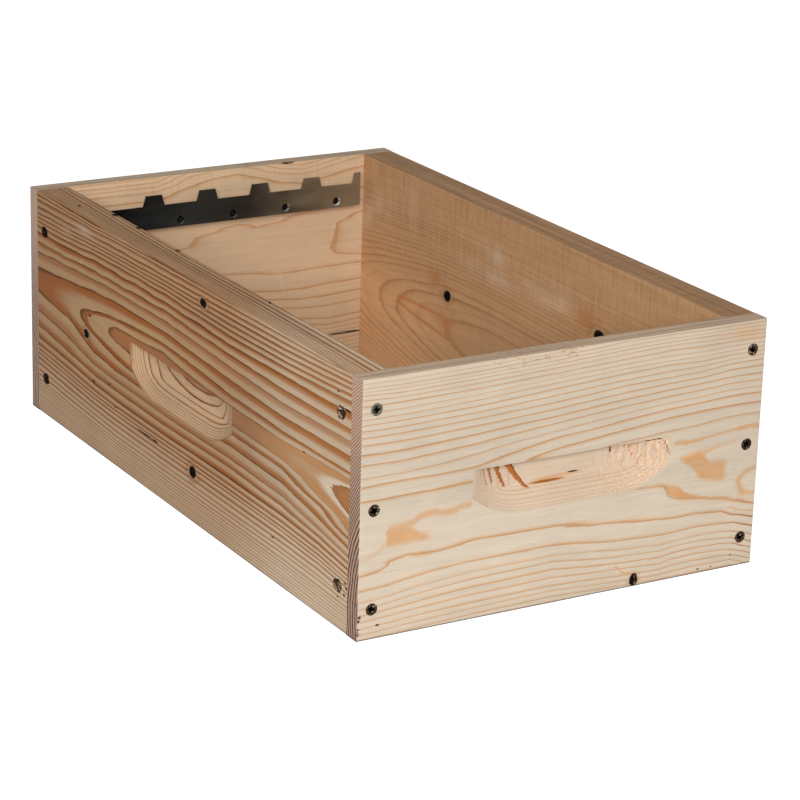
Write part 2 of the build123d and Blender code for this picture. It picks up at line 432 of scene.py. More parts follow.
class Wood:
    """A board's wood: rings through the whole board, fibres along its grain, knots, pits and sawn edges.

    Each board says what early wood (pale), late wood (brown) and the line that ends a ring (dark) look like,
    where in a ring late wood and line start, how faint a ring may be (least), how far rings wander (wave and
    ragged) and how much fibres, streaks and the halos of knots show.
    """

    along_x = False  # whether the grain runs along X or along Y
    knots, pits = [], []  # where, and how far they reach along X, Y and Z
    sawn = 0.0  # how strong the saw marks are
    end_tint = None

    def __init__(self):
        sh = self.sh = Shader("pine_" + self.name)
        self.place, (self.x, self.y, self.z) = sh.position()
        self.fibre = self.grained(16, 0.65, detail=3, roughness=0.65)
        self.streak = self.grained(120, 3.5, detail=2)
        self.blotch = sh.noise(self.place, detail=3, scale=0.035)
        self.deep = self.depth()

    def grained(self, length, across, **more):
        """Noise drawn out along the grain."""
        along, side = (self.x, self.y) if self.along_x else (self.y, self.x)
        return self.sh.noise(self.sh.vector(along / length, side / across, self.z / across), **more)

    def in_hold(self, depths, heights):
        """1 in the hand-hold, 0 elsewhere; it starts over depths and ends over heights."""
        sh = self.sh
        return sh.step(*depths, self.deep) * sh.step(12.5, 11.5, self.deep) * sh.step(*heights, self.z)

    def with_hold(self, face, hold):
        """Ring number of a board whose hand-hold has rings of its own."""
        share = self.in_hold((0.05, 0.25), (103, 102))
        return hold * share + face * (1 - share)

    def profile(self):
        """How much late wood shows in a ring, and how much of the dark line that ends it."""
        late = self.sh.step(*self.late_span, self.part) * self.strength
        line = self.sh.step(self.line_from - 0.08, self.line_from + 0.05, self.part) * self.strength
        return late, line

    def drawn(self, late, line):
        """Early wood, late wood and lines as one colour."""
        colour = self.sh.mix(late, self.pale, self.brown)
        return self.sh.mix(line * self.line_share, colour, self.dark)

    def marks(self, colour, late):
        return colour

    def light(self):
        """How light the board is from place to place; on the back and right boards this is painted light and
        shade.
        """
        return 1.0

    def tone(self):
        tone = self.fibre * self.fibre_share + self.streak * self.streak_share + self.blotch * 0.14 + 1.0
        tone = tone * self.light()
        if self.sawn:
            marks = self.grained(1.5, 30, detail=1) * self.sawn
            tone = marks * (self.sh.step(100, 150, self.z) * 0.9 + 0.5) + tone
        return tone

    def shaken(self, spots, force):
        """Distance to the nearest spot, with a ragged rim."""
        sh = self.sh
        shake = sh.vector(self.fibre, self.streak, self.fibre)
        return sh.nearest(sh.vmath("MULTIPLY_ADD", shake, [force] * 3, self.place), spots)

    def pitted(self):
        """Where the board is pitted, and the colour there."""
        return self.sh.step(1.5, 0.9, self.shaken(self.pits, 0.8)), PIT_BROWN

    def knotted(self, colour):
        """The colour with knots and pits, and where these are."""
        sh = self.sh
        knot = self.shaken([(centre, [max(r, 3) for r in reach]) for centre, reach in self.knots], 2.4)
        wide = knot + self.streak * 2.2 + self.fibre * 1.2
        colour = sh.mix(sh.step(2.5, 1.3, wide) * self.halo, colour, KNOT_HALO)
        colour = sh.mix(sh.step(1.65, 1.3, wide) * 0.45, colour, KNOT_PALE)
        black = sh.step(1.25, 0.9, knot)
        colour = sh.mix(black, colour, KNOT_BLACK)
        if self.pits:
            pit, brown = self.pitted()
            colour = sh.mix(pit * 0.95, colour, brown)
            black = sh.max(black, pit)
        return colour, black

    def end_grain(self):
        """Rings cut across at the board's ends."""
        sh, z = self.sh, self.z
        reach = sh.length(z - 20, self.deep + 95)
        wander = sh.noise(sh.vector(self.deep / 9, 0.0, z / 14), detail=2) * 0.9
        arc = reach / 2.9 + sh.max(reach - 115, 0) * 0.226 + wander
        part = arc - sh.floor(arc) + self.fibre * 0.5
        line = sh.step(0.3, 0.9, part) * (1 - sh.step(70, 160, z) * 0.45)
        tone = self.fibre * 0.6 + sh.step(40, TOP, z) * 0.2 + 0.7
        colour = sh.shade(sh.mix(line, END_PALE, END_DARK), tone)
        return sh.tinted(colour, self.end_tint) if self.end_tint else colour

    def edged(self, colour):
        """The colour with end grain, duller rims and a painted contact shadow along the lower edge."""
        sh = self.sh
        facing = sh.facing()
        if self.along_x:
            colour = sh.mix(sh.step(0.5, 0.8, sh.abs(facing[0])), colour, self.end_grain())
        dulled = sh.tinted(sh.shade(colour, self.streak * 0.9 + self.fibre * 0.3 + 1.0), self.rim_tint)
        colour = sh.mix(sh.step(0.5, 0.8, sh.abs(facing[2])), colour, dulled)
        # Painted contact shadow: a dark line along the bottom edge, where the box meets the floor
        return sh.mix(sh.step(1.5, 0.4, self.z) * 0.85, colour, CONTACT_SHADOW)

    def material(self):
        sh = self.sh
        n = self.rings() + self.grained(85, 22, detail=1) * self.wave + self.fibre * self.ragged
        self.ring = sh.floor(n)
        self.part = n - self.ring
        self.strength = sh.chance(self.ring) * (1 - self.least) + self.least
        late, line = self.profile()
        colour = self.marks(self.drawn(late, line), late)
        colour, black = self.knotted(sh.shade(colour, self.tone()))
        sh.put(self.edged(colour), sh.bsdf.inputs["Base Color"])
        sh.put(self.fibre * 0.2 - late * 0.08 + 0.66, sh.bsdf.inputs["Roughness"])
        sh.put(0.08 - black * 0.06, sh.bsdf.inputs["Specular IOR Level"])
        sh.bump(self.fibre, 0.4 * MM, 0.5)
        return sh.data


class LeftWood(Wood):
    """The left board, with a heart that narrows to an eye at the near end."""

    name = "left"
    pale, brown, dark = srgb(212, 186, 157), srgb(176, 109, 46), srgb(98, 54, 19)
    late_span, line_share = (0.32, 0.72), 0.95
    least, wave, ragged, fibre_share, streak_share, halo = 0.65, 0.12, 0.17, 0.46, 0.24, 0.6
    rim_tint = (0.86, 0.91, 0.93, 1)
    knots = [
        ((LEFT, -36, 159), (1.3, 4.6, 3.3)), ((LEFT, 151, 84.5), (1.3, 4.4, 3.1)),
        ((LEFT, -22, 36), (1.3, 4.8, 4.2))]
    pits = [((x, y, TOP), reach) for x, y, *reach in (
        (-127, 151, 1.8, 3.0, 1.3), (-126.5, 113, 1.6, 2.6, 1.2), (-126.5, 49, 1.8, 2.8, 1.4),
        (-126, -86, 1.5, 2.2, 1.1), (-140, 184, 0.9, 2.0, 0.8))]
    pits += [((LEFT, y, z), reach) for y, z, *reach in (
        (53, 39.4, 1.6, 10.5, 0.6), (37, 39.4, 1.4, 4.6, 0.55), (138, 52.6, 0.8, 1.7, 0.8),
        (111, 58.6, 0.6, 1.6, 0.5), (102, 44, 0.7, 1.4, 0.6), (144, 100, 0.5, 1.6, 0.8),
        (-138, 30, 0.6, 1.4, 0.6), (-220, 154, 0.6, 1.2, 0.5), (-178, 101, 0.5, 1.2, 0.5),
        (-236, 30, 0.8, 1.5, 0.8), (-234, 33, 0.7, 1.4, 0.5), (-233, 25, 0.7, 1.2, 0.7),
        (-225, 21, 0.5, 1.0, 0.5), (-232, 145.3, 0.9, 4.2, 0.55))]
    # The holes round the side screws, painted dark as shade
    screw_hole_shade = [
        ((LEFT + 2, y, z), (6, 6, 6)) for y in (NEAR_SCREW, FAR_SCREW) for z in (HIGH_SCREW, LOW_SCREW)]
    near_tint, far_tint, hold_tint = (1.02, 1.1, 1.17, 1), (0.69, 0.57, 0.44, 1), (1.08, 1.0, 0.92, 1)

    def depth(self):
        return self.x - LEFT

    def rings(self):
        sh, y, z = self.sh, self.y, self.z
        spread = self.deep * (0.026 - sh.step(23.8, 24.8, self.deep) * 0.014)
        face = line_rings(sh, y, z - (z - 96) * spread, LEFT_LINES)
        bowl = self.deep + sh.hump(y, z, (-12, 104), (52, 18)) * 2.7
        bowl = bowl - (sh.hump(y, z, (66, 81), (26, 7)) + sh.hump(y, z, (-66, 81), (26, 7))) * 0.8
        hold = sh.curve(bowl, [
            (-3, 3), (0.8, 0), (1.9, -1), (2.95, -2), (3.85, -3), (4.9, -4), (6.5, -5), (8.9, -6), (10.6, -7),
            (11.35, -8), (28, -18)])
        ripple = self.grained(26, 10, detail=1) * sh.step(105, 140, z) * sh.step(-120, 20, y)
        return self.with_hold(face, hold) + ripple * 0.42

    def profile(self):
        sh, y, z = self.sh, self.y, self.z
        self.inside = self.in_hold((0.3, 1.2), (104, 101))
        self.tongue = sh.math("COMPARE", self.ring, 1.0, 0.1)
        self.eye = self.tongue * sh.step(-160, -200, y)
        thin = sh.math("COMPARE", self.ring, 2.0, 0.1) * sh.step(20, 150, y)
        late_from = self.inside * 0.3 + thin * 0.36 - self.eye * 0.22 + self.late_span[0]
        late_to = self.inside * 0.25 - self.eye * 0.3 + self.late_span[1]
        line_from = sh.curve(sh.abs(z - 96), [(0, 0.91), (35, 0.88), (45, 0.83), (55, 0.77), (90, 0.75)])
        strength = self.strength * (sh.step(10, 48, z) * 0.55 + 0.45)
        feather = self.streak * 0.35
        late = sh.step(late_from, late_to, self.part + feather) * strength
        line = sh.step(line_from - (feather * 0.5 + 0.08), line_from + 0.05, self.part) * strength
        near = sh.step(-110, -215, y) * (sh.step(30, 90, z) * 0.55 + 0.45)
        return late, line * (1 - near * 0.7) * (self.streak * 1.1 + 0.9)

    def marks(self, colour, late):
        """A pale eye and orange tongue, redder and darker towards the far top, paler towards the near bottom,
        smudges.
        """
        sh, y, z = self.sh, self.y, self.z
        colour = sh.mix(self.tongue * sh.step(-90, -150, y) * late * 0.7, colour, LATE_ORANGE)
        colour = sh.mix(self.eye * sh.step(0.28, 0.1, self.part) * 0.85, colour, EYE_PALE)
        far = (sh.step(20, 60, z) * 0.43 + sh.step(-170, -60, y) * 0.57) * (1 - self.inside * 0.55)
        colour = sh.tinted(colour, sh.mix(far, self.near_tint, self.far_tint))
        colour = sh.mix(self.inside, colour, sh.tinted(colour, self.hold_tint))
        smudge = sh.highest((
            sh.hump(y, z, (155, 160), (14, 3)), sh.hump(y, z, (186, 153), (10, 4)) * 0.7,
            sh.hump(y, z, (58, 25), (6, 2.5)) * 0.5))
        return sh.mix(smudge * (self.blotch + 0.45), colour, SMUDGE_GREY)

    def pitted(self):
        sh = self.sh
        pit, brown = super().pitted()
        # Painted shade: the wood inside the holes round the side screws is coloured dark brown
        hole_shade = sh.step(1.1, 0.9, sh.nearest(self.place, self.screw_hole_shade)) * sh.step(0.05, 0.3, self.deep)
        return sh.max(pit, hole_shade), brown


# Broad orange latewood on the front face: its force, softness, how its ends fade, and its outline
FRONT_BANDS = [
    (0.82, 2.6, (1.2, 9), [
        (-130.8, 66, 6.6), (-120, 66.3, 6.8), (-112, 64.5, 4.8), (-104, 62.5, 2.8), (-95, 61.6, 2)]),
    (0.76, 1.8, (1, 2), [
        (-131, 69, 3.2), (-113, 72.5, 2.4), (-106, 76, 2.3), (-98, 77.2, 2.5), (-90, 75.6, 2),
        (-83, 75.5, 2.5), (-78, 77.5, 2), (-69, 78, 1.8)]),
    (0.6, 0.9, (5, 2), [(-98, 92.2, 0.6), (-85, 92.7, 1), (-70, 93.3, 0.9)]),
    (0.75, 1, (5, 5), [(-115, 51, 0.5), (-105, 50.6, 1.1), (-95, 50.2, 0.4)]),
    (0.35, 1.6, (0.1, 1), [(-151, 53, 1.2), (-143, 54.5, 1.5), (-136, 58, 2), (-130, 62, 2)]),
    (0.85, 1, (4, 0.1), [
        (79, 93.3, 0.5), (86, 94, 1.3), (95, 93.6, 1.2), (110, 95, 1), (122, 96.2, 0.9), (131, 97, 1.1),
        (138, 97.4, 1.7), (152, 96.2, 1.3)]),
    (0.92, 2.6, (2, 6), [
        (86, 83.7, 0.4), (90, 82.5, 1.9), (95, 80.6, 4.6), (100, 78.5, 7.4), (104, 76.7, 9.4), (107, 74.8, 9),
        (110, 71.6, 6.7), (116, 70.6, 6.8), (127, 69.6, 7.4)]),
    (0.6, 1.5, (4, 8), [
        (99, 84.5, 1.4), (108, 85.3, 1.9), (115, 86.8, 1.3), (122, 88, 0.9), (138, 89.6, 0.4)]),
    (0.95, 1.4, (9, 0.1), [
        (66, 68.8, 0.7), (72, 67, 1), (76, 65, 1.2), (80, 62.6, 2.6), (84, 60.6, 4), (88, 59, 4.4),
        (92, 57.6, 3.6), (95, 56.4, 2.7), (100, 54.3, 1.4), (110, 52, 0.9), (125, 49.3, 0.8),
        (140, 44.6, 0.7), (152, 41.5, 0.6)]),
    (0.85, 0.6, (3, 0.1), [(125, 43.1, 0.3), (135, 41, 0.5), (141, 39, 0.6), (152, 36.6, 0.6)]),
    (0.9, 0.6, (3, 4), [(39, 17.5, 0.5), (43, 15.5, 0.6), (47, 11.5, 0.7), (52, 10, 0.6), (57, 9, 0.4)]),
]
# Slashes of late wood at the left of the front hand-hold: X at the top, lean, lower end, half width, force
SLASHES = [
    (-41.1, 0.79, 79, 2.9, 1.0), (-50.0, 0.48, 82.3, 2.0, 1.0), (-56.2, 0.33, 87, 1.25, 0.95),
    (-61.0, 0.34, 85.5, 0.75, 0.6), (-63.4, 0.25, 88, 0.5, 0.35)]
SLASH_TOP = 99


class FrontWood(Wood):
    """The front board: pale, with broad orange late wood and a torn hand-hold."""

    name = "front"
    along_x = True
    pale, brown, dark = srgb(214, 198, 177), srgb(210, 173, 135), srgb(190, 144, 102)
    late_span, line_from, line_share = (0.52, 0.95), 0.86, 0.8
    least, wave, ragged, fibre_share, streak_share, halo = 0.55, 0.1, 0.13, 0.32, 0.16, 0.1
    rim_tint = srgb(222, 214, 208)
    knots = [((55.8, FRONT, 4.6), (2.9, 1.3, 4.2))]
    pits = [((x, FRONT + deep, z), reach) for x, deep, z, *reach in (
        (9.6, 8.5, 84.2, 3.2, 1.6, 0.42), (37.9, 8.5, 95, 0.7, 1.2, 2.6), (107, 0, 3, 0.7, 0.8, 0.6),
        (117.5, 0, 3, 0.6, 0.8, 0.6), (133, 0, 8.5, 0.5, 0.7, 0.7), (-148.5, 0, 16, 1.0, 0.9, 1.0),
        (-149, 0, 13.5, 0.8, 0.8, 0.8), (-149.3, 0, 8, 0.7, 0.8, 0.7), (-135.5, 0, 9, 1.2, 0.7, 0.6),
        (-149.6, 0, 5, 0.9, 0.9, 1.5), (LEFT, 2, 24, 0.8, 0.9, 1.6), (64.8, 5.5, 97.2, 2.4, 0.6, 0.32),
        (68.6, 4.4, 97.9, 2.0, 0.6, 0.3), (71.8, 3.3, 98.1, 1.6, 0.6, 0.35), (74.0, 2.5, 97.0, 0.9, 0.6, 0.5),
        (75.7, 1.9, 95.5, 0.4, 0.6, 1.3), (77.0, 1.3, 93.1, 0.4, 0.6, 1.2), (77.9, 0.9, 90.6, 0.35, 0.6, 1.4),
        (78.7, 0.6, 88.4, 0.3, 0.6, 1.0), (72.4, 3.2, 95.6, 0.9, 0.6, 0.3), (75.4, 2, 91.6, 0.3, 0.6, 0.8))]
    hold_tint, torn_tint = (1.05, 0.97, 0.92, 1), (1.14, 1.02, 0.95, 1)

    def depth(self):
        return self.y - FRONT

    def rings(self):
        sh, x, z = self.sh, self.x, self.z
        face = line_rings(sh, x, z - (z - 80) * self.deep * 0.012, FRONT_LINES, 3.2)
        bowl = self.deep - sh.hump(x, z, (-62, 79), (13, 6)) * 1.4
        hold = sh.curve(bowl, [
            (-3, 3), (0.7, 0), (1.55, -1), (2.7, -2), (3.95, -3), (5.6, -4), (6.9, -5), (8.2, -6),
            (8.32, -6.6), (28, -18)])
        return self.with_hold(face, hold)

    def profile(self):
        sh, x, z = self.sh, self.x, self.z
        self.inside = self.in_hold((0.3, 1.2), (104, 101))
        self.corner = sh.hump(x, z, (150, 24), (22, 26))
        self.strength = self.strength * (1 - self.inside * (sh.step(-25, -60, x) * 0.3 + 0.3))
        late, line = super().profile()
        faint = sh.step(60, 20, z) * (sh.step(-20, -110, x) * 0.22 + 0.25)
        return late, line * sh.step(1.0, 0.95, self.part) * (1 - faint + self.corner * 0.7)

    def drawn(self, late, line):
        sh = self.sh
        colour = sh.mix(late, self.pale, self.brown)
        colour = sh.mix(self.patches() * sh.step(0.6, 0.2, self.deep) * 0.95, colour, LATE_ORANGE)
        return sh.mix(line * self.line_share, colour, sh.mix(self.corner, self.dark, CORNER_BROWN))

    def patches(self):
        """Where broad orange latewood shows on the face, from 0 to 1."""
        sh = self.sh
        ragged = self.streak + self.fibre
        warp = sh.noise(sh.vector(self.x / 11, 0.0, self.z / 5), detail=2)
        x = self.x + ragged * 3 + warp * 5
        z = self.z + ragged * 1.1 + warp * 2.2
        eye = sh.length((x - 151) / 15.3, (z - 59) / 9)
        found = [
            sh.bell((eye - 1) / 0.17) * 0.8, sh.hump(x, z, (139.5, 51.5), (3.5, 2.5)) * 0.8,
            sh.hump(x, z, (135, 162), (14, 5)) * 0.5]
        found += [sh.band(x, z, points, soft, ends) * force for force, soft, ends, points in FRONT_BANDS]
        return sh.highest(found) * (ragged * 0.7 + warp * 0.5 + 0.95)

    def marks(self, colour, late):
        """Warmer wood in the hand-hold, and brown flecks at the torn top edge."""
        sh, x, y, z = self.sh, self.x, self.y, self.z
        warm = sh.mix(sh.step(20, 50, x), self.hold_tint, self.torn_tint)
        colour = sh.tinted(colour, sh.mix(self.inside, (1, 1, 1, 1), warm))
        colour = self.torn(self.late_in_hold(colour))
        fleck = sh.noise(sh.vector(x / 5, y / 2, z / 1.3), detail=3)
        fleck = sh.step(0.04, 0.2, fleck) * sh.hump(x, z, (-26, TOP), (34, 9))
        return sh.mix(fleck * 0.85, colour, FLECK_BROWN)

    def late_in_hold(self, colour):
        """Slashes at the left of the hand-hold and a lens of late wood in its middle."""
        sh, x, z, inside = self.sh, self.x, self.z, self.inside
        ragged = sh.noise(sh.vector(x / 3.2, 0.0, z / 1.1), detail=2)
        drop = SLASH_TOP - z
        for top, lean, low, half, force in SLASHES:
            length = SLASH_TOP - low
            middle = drop * (drop * (0.25 / length) + 0.75) * lean + top
            across = (x + ragged * 3.8 - middle) / ((z - low) / length * (0.6 * half) + 0.45 * half)
            whole = sh.step(-0.3, -0.18, sh.noise(sh.vector(x / 9, top, z / 2.4), detail=1))
            body = sh.step(1.2, 0.75, sh.abs(across)) * sh.step(low - 1, low + 1, z) * whole * inside
            colour = sh.mix(body * force, colour, LATE_DEEP)
            colour = sh.mix(body * sh.step(0.25, 0.85, across) * (0.9 * force), colour, LATE_SHADE)
        lens = sh.hump(x + ragged * 2, z + ragged * 0.5, (-10.2, 81), (13, 0.95))
        trail = sh.bell((z - x * 0.03 - 83.1) / 1.1) * sh.step(-26, -14, x) * sh.step(22, 10, x)
        colour = sh.mix(trail * inside * 0.8, colour, LATE_ORANGE)
        colour = sh.mix(sh.step(0.15, 0.6, lens) * inside, colour, LATE_DEEP)
        return sh.mix(sh.hump(x, z, (-11, 80.8), (7, 0.45)) * inside * 0.7, colour, LATE_SHADE)

    def torn(self, colour):
        """Torn wood at the right of the hand-hold: leaning strokes above, stipple below, in paler and more
        orange torn fibre that is partly painted highlight and shade on the torn scallops.
        """
        sh, x, z, inside = self.sh, self.x, self.z, self.inside
        upper = sh.step(24, 40, x) * sh.step(79, 86, z) * inside
        strokes = sh.noise(sh.vector((x * 0.42 + z * 0.91) / 8, 0.0, (z * 0.42 - x * 0.91) / 1.9), detail=3)
        # Orange strokes are torn fibre colour and painted shade; pale strokes are paler torn fibre and
        # painted highlights
        colour = sh.mix(upper * sh.step(0.02, 0.24, strokes) * 0.7, colour, TORN_ORANGE_AND_SHADE)
        colour = sh.mix(upper * sh.step(-0.02, -0.22, strokes) * 0.85, colour, TORN_PALE_AND_HIGHLIGHT)
        lower = sh.step(0, 45, x) * sh.step(89, 82, z) * inside
        stipple = sh.noise(sh.vector(x / 1.7, 0.0, z / 0.75), detail=2)
        colour = sh.mix(lower * sh.step(0.04, 0.18, stipple) * 0.7, colour, LATE_ORANGE)
        return sh.mix(lower * sh.step(-0.04, -0.18, stipple) * 0.8, colour, TORN_PALE_AND_HIGHLIGHT)

    def light(self):
        return 1 - self.sh.step(30, 110, self.z) * 0.09 - self.sh.step(0, LEFT, self.x) * 0.03

    def pitted(self):
        """Pits, browner where the hand-hold and the left edge are torn."""
        sh, x = self.sh, self.x
        torn = sh.max(sh.step(56, 60, x) * sh.step(84, 88, self.z), sh.step(-144, -147, x) * 0.5)
        return super().pitted()[0], sh.mix(torn, PIT_BROWN, TORN_BROWN)


class BackWood(Wood):
    """The back board, whose inner face shows."""

    name = "back"
    along_x = True
    pale, brown, dark = srgb(219, 188, 154), srgb(209, 165, 123), srgb(190, 138, 92)
    late_span, line_from, line_share = (0.55, 0.95), 0.88, 0.65
    least, wave, ragged, fibre_share, streak_share, halo = 0.6, 0.16, 0.14, 0.26, 0.2, 0.5
    sawn = 0.14
    rim_tint, end_tint = srgb(196, 205, 215), (1.1, 1.2, 1.26, 1)
    knots = [((60, BACK, 120), (4, 1.3, 3)), ((-85, BACK, 40), (3, 1.3, 2.6))]
    pits = [
        ((25.5, BACK - 7, TOP), (0.7, 1.4, 0.8)), ((58, BACK_INSIDE + 0.4, TOP), (5.0, 1.2, 0.9)),
        ((112, BACK_INSIDE, 26.4), (13, 1.0, 0.8))]

    def depth(self):
        return BACK - self.y

    def rings(self):
        sh, z = self.sh, self.z
        into = sh.max(sh.min(self.y - BACK_INSIDE, 15), -15)
        return line_rings(sh, self.x, z + (z - 104) * into * 0.012, BACK_LINES, 3) + into * 0.25

    def marks(self, colour, late):
        """Two pale scratches."""
        sh, x, z = self.sh, self.x, self.z
        long = sh.hump(x + z * 0.25, z, (72.7, 73.5), (0.9, 7))
        short = sh.hump(x, z, (52.5, 79), (2.6, 2.2))
        return sh.mix(sh.max(long, short) * 0.4, colour, EYE_PALE)

    def light(self):
        # Painted shade lower down the inner face, and lighter near its top
        return 0.97 - self.sh.step(92, 40, self.z) * 0.12 + self.sh.step(145, 168, self.z) * 0.1


class RightWood(Wood):
    """The right board, whose sawn inner face shows."""

    name = "right"
    pale, brown, dark = srgb(199, 156, 115), srgb(191, 145, 102), srgb(168, 118, 78)
    late_span, line_from, line_share = (0.3, 0.9), 0.8, 0.6
    least, wave, ragged, fibre_share, streak_share, halo = 0.2, 0.9, 0.25, 0.3, 0.3, 0.35
    sawn = 0.34
    rim_tint = (0.55, 0.54, 0.51, 1)
    knots = [((RIGHT_INSIDE, 106, 90.5), (1.3, 4.8, 4.2)), ((RIGHT_INSIDE, -97, 116), (1.3, 6.5, 5.0))]
    knot_spread, knot_push = (30, 10), 0.5

    def depth(self):
        return RIGHT - self.x

    def rings(self):
        """Circles round a pith outside the board, pushed apart by the knots."""
        sh, y, z = self.sh, self.y, self.z
        push = 0
        for (_, *place), _ in self.knots:
            push = (z - place[1]) * self.knot_push * sh.hump(y, z, place, self.knot_spread) + push
        bend = sh.max((y - 20) / 200, 0)
        radius = sh.length(z - push - y * 0.02 - 62, bend * bend * 5 - self.deep + 165)
        return (radius - 140) / 1.1

    def marks(self, colour, late):
        """Pale patches, flares round the knots and a tongue of late wood."""
        sh, y, z = self.sh, self.y, self.z
        behind = sh.max(182 - y, 0)
        rim = sh.abs(z + behind * 0.05 - 69) - sh.sqrt(behind) * 0.85
        tongue = sh.bell(rim / 1.5) * sh.step(0, 4, behind) * sh.step(95, 60, behind)
        flare = sh.highest((
            sh.hump(y, z, (124, 100), (10, 6)), sh.hump(y, z, (112, 70), (14, 6)),
            sh.hump(y, z, (-80, 124), (16, 8))))
        colour = sh.mix(sh.max(tongue * 0.7, flare * 0.5), colour, LATE_FLARE)
        # Pale patches, one a diagonal band near the back end
        pale_patch = sh.highest((
            sh.hump(y, z, (40, 139), (11, 8)), sh.hump(y, z, (-33, 128), (26, 9)),
            sh.hump(y + z * 1.1, z, (366, 122), (26, 22)), sh.hump(y, z, (45, 122), (36, 5)),
            sh.hump(y, z, (158, 150), (9, 22)) * 0.6))
        return sh.mix(pale_patch * (self.blotch * 1.6 + 0.55), colour, PATCH_PALE)

    def light(self):
        # Painted light: brighter low down towards the back end, where light bounces inside the box
        return self.sh.step(60, 190, self.y) * self.sh.step(110, 60, self.z) * 0.27 + 1


# Metals

def metal(name, colour, roughness, scale, stain=None, hollow_shade=None, heads=None, shine=1.0):
    """Cloudy metal, stained here and there, with painted shade in hollows and in the middle of heads, and
    painted glints on heads.
    """
    sh = Shader(name)
    place, (x, y, z) = sh.position()
    cloud = sh.noise(place, detail=4, scale=scale)
    tone = sh.shade(colour, cloud * 0.4 + 1.0)
    if stain:
        clean = sh.step(-0.12, 0.14, sh.noise(place, detail=0, scale=0.021) + cloud * 0.5)
        tone = sh.mix(clean, stain, tone)
    if heads:
        tone = sh.mix(sh.hump(x, z, (-137, 150), (20, 20)) * 0.9, tone, SCREW_OLIVE)
        # Painted shade in and round the cross recess in the middle of each head
        middle = sh.step(0.8, 0.35, sh.nearest(place, heads) + cloud * 0.9)
        tone = sh.mix(middle * 0.9, tone, hollow_shade)
        # Painted glints: small bright specks on the heads
        tone = sh.mix(sh.step(0.14, 0.21, sh.noise(place, detail=1, scale=0.9)), tone, SCREW_PAINTED_GLINT)
    if hollow_shade:
        # Painted shade in hollows, darkest where ambient occlusion finds them sheltered
        shelter = sh.node("AmbientOcclusion", samples=8)
        shelter.inputs["Distance"].default_value = 2.5 * MM
        tone = sh.mix(sh.step(0.55, 0.95, Num(sh, shelter.outputs["AO"])), hollow_shade, tone)
    sh.put(tone, sh.bsdf.inputs["Base Color"])
    sh.put(cloud * 0.15 + roughness, sh.bsdf.inputs["Roughness"])
    sh.bsdf.inputs["Metallic"].default_value = shine
    sh.bsdf.inputs["Specular IOR Level"].default_value = 0.1
    return sh.data


def steel_with_painted_reflection():
    """Sheet steel with a painted reflection: black at its left end, where it mirrors the shaded inside of the
    box, and paler to the right.
    """
    sh = Shader("spacer_sheet")
    place, (x, y, z) = sh.position()
    cloud = sh.noise(sh.vector(x / 30, y / 30, z / 9), detail=4)
    # Painted reflection, from black at the left end through grey to pale at the right
    colour = sh.mix(sh.step(-105, -15, x + cloud * 40), STEEL_BLACK, STEEL_MIDDLE)
    colour = sh.mix(sh.step(10, 110, x + cloud * 40), colour, STEEL_RIGHT)
    sh.put(sh.shade(colour, cloud * 0.3 + 1.0), sh.bsdf.inputs["Base Color"])
    sh.put(cloud * 0.12 + 0.3, sh.bsdf.inputs["Roughness"])
    sh.bsdf.inputs["Metallic"].default_value = 1.0
    sh.bump(sh.noise(place, detail=1, scale=0.03), 0.4 * MM)
    return sh.data


# Boards with knots, nicks and torn places cut into the CAD shape

def added(name, data):
    """A new object in the scene."""
    made = bpy.data.objects.new(name, data)
    scene.collection.objects.link(made)
    return made


def mesh_of(bm, name):
    mesh = bpy.data.meshes.new(name)
    bm.to_mesh(mesh)
    bm.free()
    return mesh


def dress(mesh, material):
    mesh.materials.clear()
    mesh.materials.append(material)


def blob(bm, centre, reach, rng, rough=0.25, turn=(0, 0, 0)):
    """A lumpy closed shape."""
    spin = Euler(turn).to_matrix().to_4x4()
    made = bmesh.ops.create_icosphere(bm, subdivisions=2, radius=1.0)["verts"]
    for vert in made:
        vert.co *= 1 + rng.uniform(-rough, rough)
    fit = Matrix.Translation(Vector(centre) * MM) @ spin @ Matrix.Diagonal((*(r * MM for r in reach), 1))
    bmesh.ops.transform(bm, matrix=fit, verts=made)


def closed_copy(node):
    """A closed mesh of a CAD node, with no stored normals."""
    bm = bmesh.new()
    bm.from_mesh(nodes[node].data)
    bmesh.ops.remove_doubles(bm, verts=bm.verts, dist=1e-6)
    mesh = mesh_of(bm, node)
    if "custom_normal" in mesh.attributes:
        mesh.attributes.remove(mesh.attributes["custom_normal"])
    return mesh


# The front hand-hold, as the disc cutter leaves it
HOLD_DISC, HOLD_DEPTH, HOLD_BEVEL = 90, 8.5, 15
HOLD_TOP, HOLD_RIM = 100, 19
HOLD_HALF_RUN, HOLD_SHIFT = 36.8, 5.0


def hold_depth(x, z):
    """How deep the front hand-hold is at a place."""
    shoulder = HOLD_TOP - HOLD_RIM
    if not shoulder - HOLD_BEVEL < z < HOLD_TOP:
        return 0.0
    radius = HOLD_DISC - max(shoulder - z, 0) * HOLD_DEPTH / HOLD_BEVEL
    reach = max(abs(x - HOLD_SHIFT) - HOLD_HALF_RUN, 0)
    return max(math.sqrt(max(radius ** 2 - reach ** 2, 0)) - HOLD_DISC + HOLD_DEPTH, 0)


def gouges(rng, count, *spans):
    """Gouges with X, Z, length, half width, bite and lean each drawn from its span."""
    return [tuple(rng.uniform(*span) for span in spans) for _ in range(count)]


